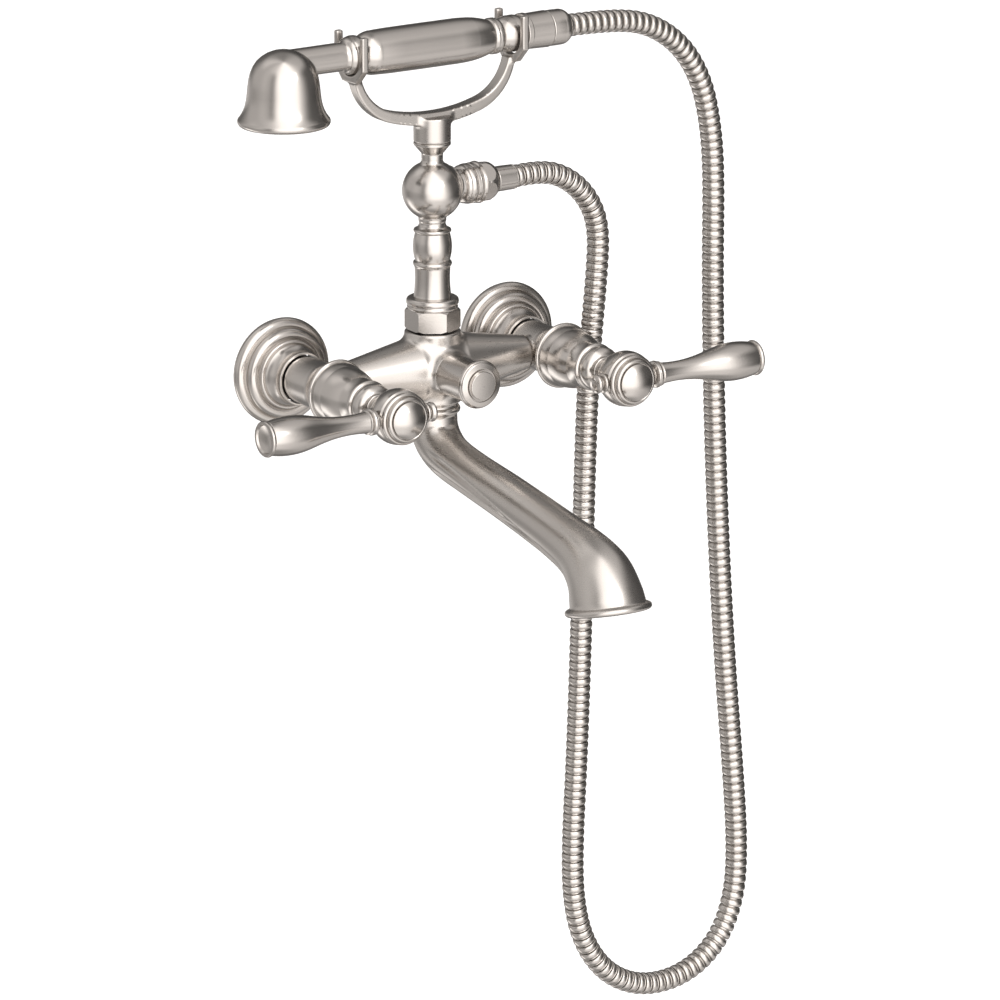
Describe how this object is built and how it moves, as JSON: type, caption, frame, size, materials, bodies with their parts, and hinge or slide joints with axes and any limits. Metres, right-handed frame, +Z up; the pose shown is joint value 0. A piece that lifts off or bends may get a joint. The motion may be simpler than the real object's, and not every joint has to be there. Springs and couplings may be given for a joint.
{
  "type": "wall mounted bath faucet with hand shower",
  "caption": "Wall mounted bath faucet in satin nickel: lever valves, pull diverter, down-curved spout, upright riser with a cradle, and a hand shower on a ribbed metal hose.",
  "frame": {"origin": "on the wall plane, midway between the two inlet axes", "axes": "+Z up, +Y into the wall (the faucet stands out towards -Y), +X towards the cold valve and the hose side"},
  "size_m": [0.4482, 0.2849, 0.7026],
  "materials": {
    "nickel": "satin nickel plate",
    "hose_metal": "satin plated interlocked spiral",
    "raw_brass": "machined",
    "screen_steel": "plain stainless",
    "ceramic": "polished",
    "seal_rubber": "matt",
    "spray_plastic": "fine matt"
  },
  "bodies": {
    "faucet": {"hot_wall_flange": "nickel", "hot_wall_gasket": "seal_rubber", "hot_inlet_tube": "nickel", "hot_inlet_screen": "screen_steel", "hot_valve_body": "nickel", "hot_bonnet": "nickel", "hot_cartridge": "raw_brass", "hot_fixed_disc": "ceramic", "cold_wall_flange": "nickel", "cold_wall_gasket": "seal_rubber", "cold_inlet_tube": "nickel", "cold_inlet_screen": "screen_steel", "cold_valve_body": "nickel", "cold_bonnet": "nickel", "cold_cartridge": "raw_brass", "cold_fixed_disc": "ceramic", "centre_body": "nickel", "diverter_sleeve": "raw_brass", "diverter_seat": "raw_brass", "riser_gasket": "seal_rubber", "riser_nut": "nickel", "riser_collar": "nickel", "riser_column": "nickel", "hose_port_ring": "nickel", "hose_washer": "seal_rubber", "hose_union_nut": "nickel", "hose_ferrule": "nickel", "hose": "hose_metal", "cradle": "nickel", "cradle_screw": "screen_steel", "spout": "nickel", "spout_collar": "nickel", "aerator": "spray_plastic"},
    "hot_handle": {"hot_hub": "nickel", "hot_handle_screw": "screen_steel", "hot_dome_button": "nickel", "hot_lever_collar": "nickel", "hot_lever": "nickel", "hot_finial": "nickel", "hot_stem": "raw_brass", "hot_turning_disc": "ceramic"},
    "cold_handle": {"cold_hub": "nickel", "cold_handle_screw": "screen_steel", "cold_dome_button": "nickel", "cold_lever_collar": "nickel", "cold_lever": "nickel", "cold_finial": "nickel", "cold_stem": "raw_brass", "cold_turning_disc": "ceramic"},
    "diverter": {"diverter_knob": "nickel", "diverter_cap": "nickel", "diverter_stem": "raw_brass", "diverter_washer": "seal_rubber"},
    "hand_shower": {"shower_bell": "nickel", "spray_face": "spray_plastic", "neck_tube": "nickel", "grip": "nickel", "grip_collar": "nickel", "tail_connector": "nickel"},
    "hose_swivel": {"swivel_nut": "nickel"}
  },
  "joints": [
    {"name": "hot_lever_turn", "type": "hinge", "parent": "faucet", "child": "hot_handle", "pos_m": [-0.0889, -0.1473, 0], "axis": [0, -1, 0], "range_deg": [0, 90]},
    {"name": "cold_lever_turn", "type": "hinge", "parent": "faucet", "child": "cold_handle", "pos_m": [0.0889, -0.1473, 0], "axis": [0, 1, 0], "range_deg": [0, 90]},
    {"name": "diverter_pull", "type": "slide", "parent": "faucet", "child": "diverter", "axis": [0, -1, 0], "range_m": [0, 0.008], "stiffness_N_per_m": 300, "springref_m": -0.004},
    {"name": "hand_shower_lift", "type": "slide", "parent": "faucet", "child": "hand_shower", "axis": [0, 0, 1], "range_m": [0, 0.03]},
    {"name": "hose_swivel_turn", "type": "hinge", "parent": "hand_shower", "child": "hose_swivel", "pos_m": [0.0985, -0.05, 0.2176], "axis": [1, 0, 0], "continuous": true}
  ]
}
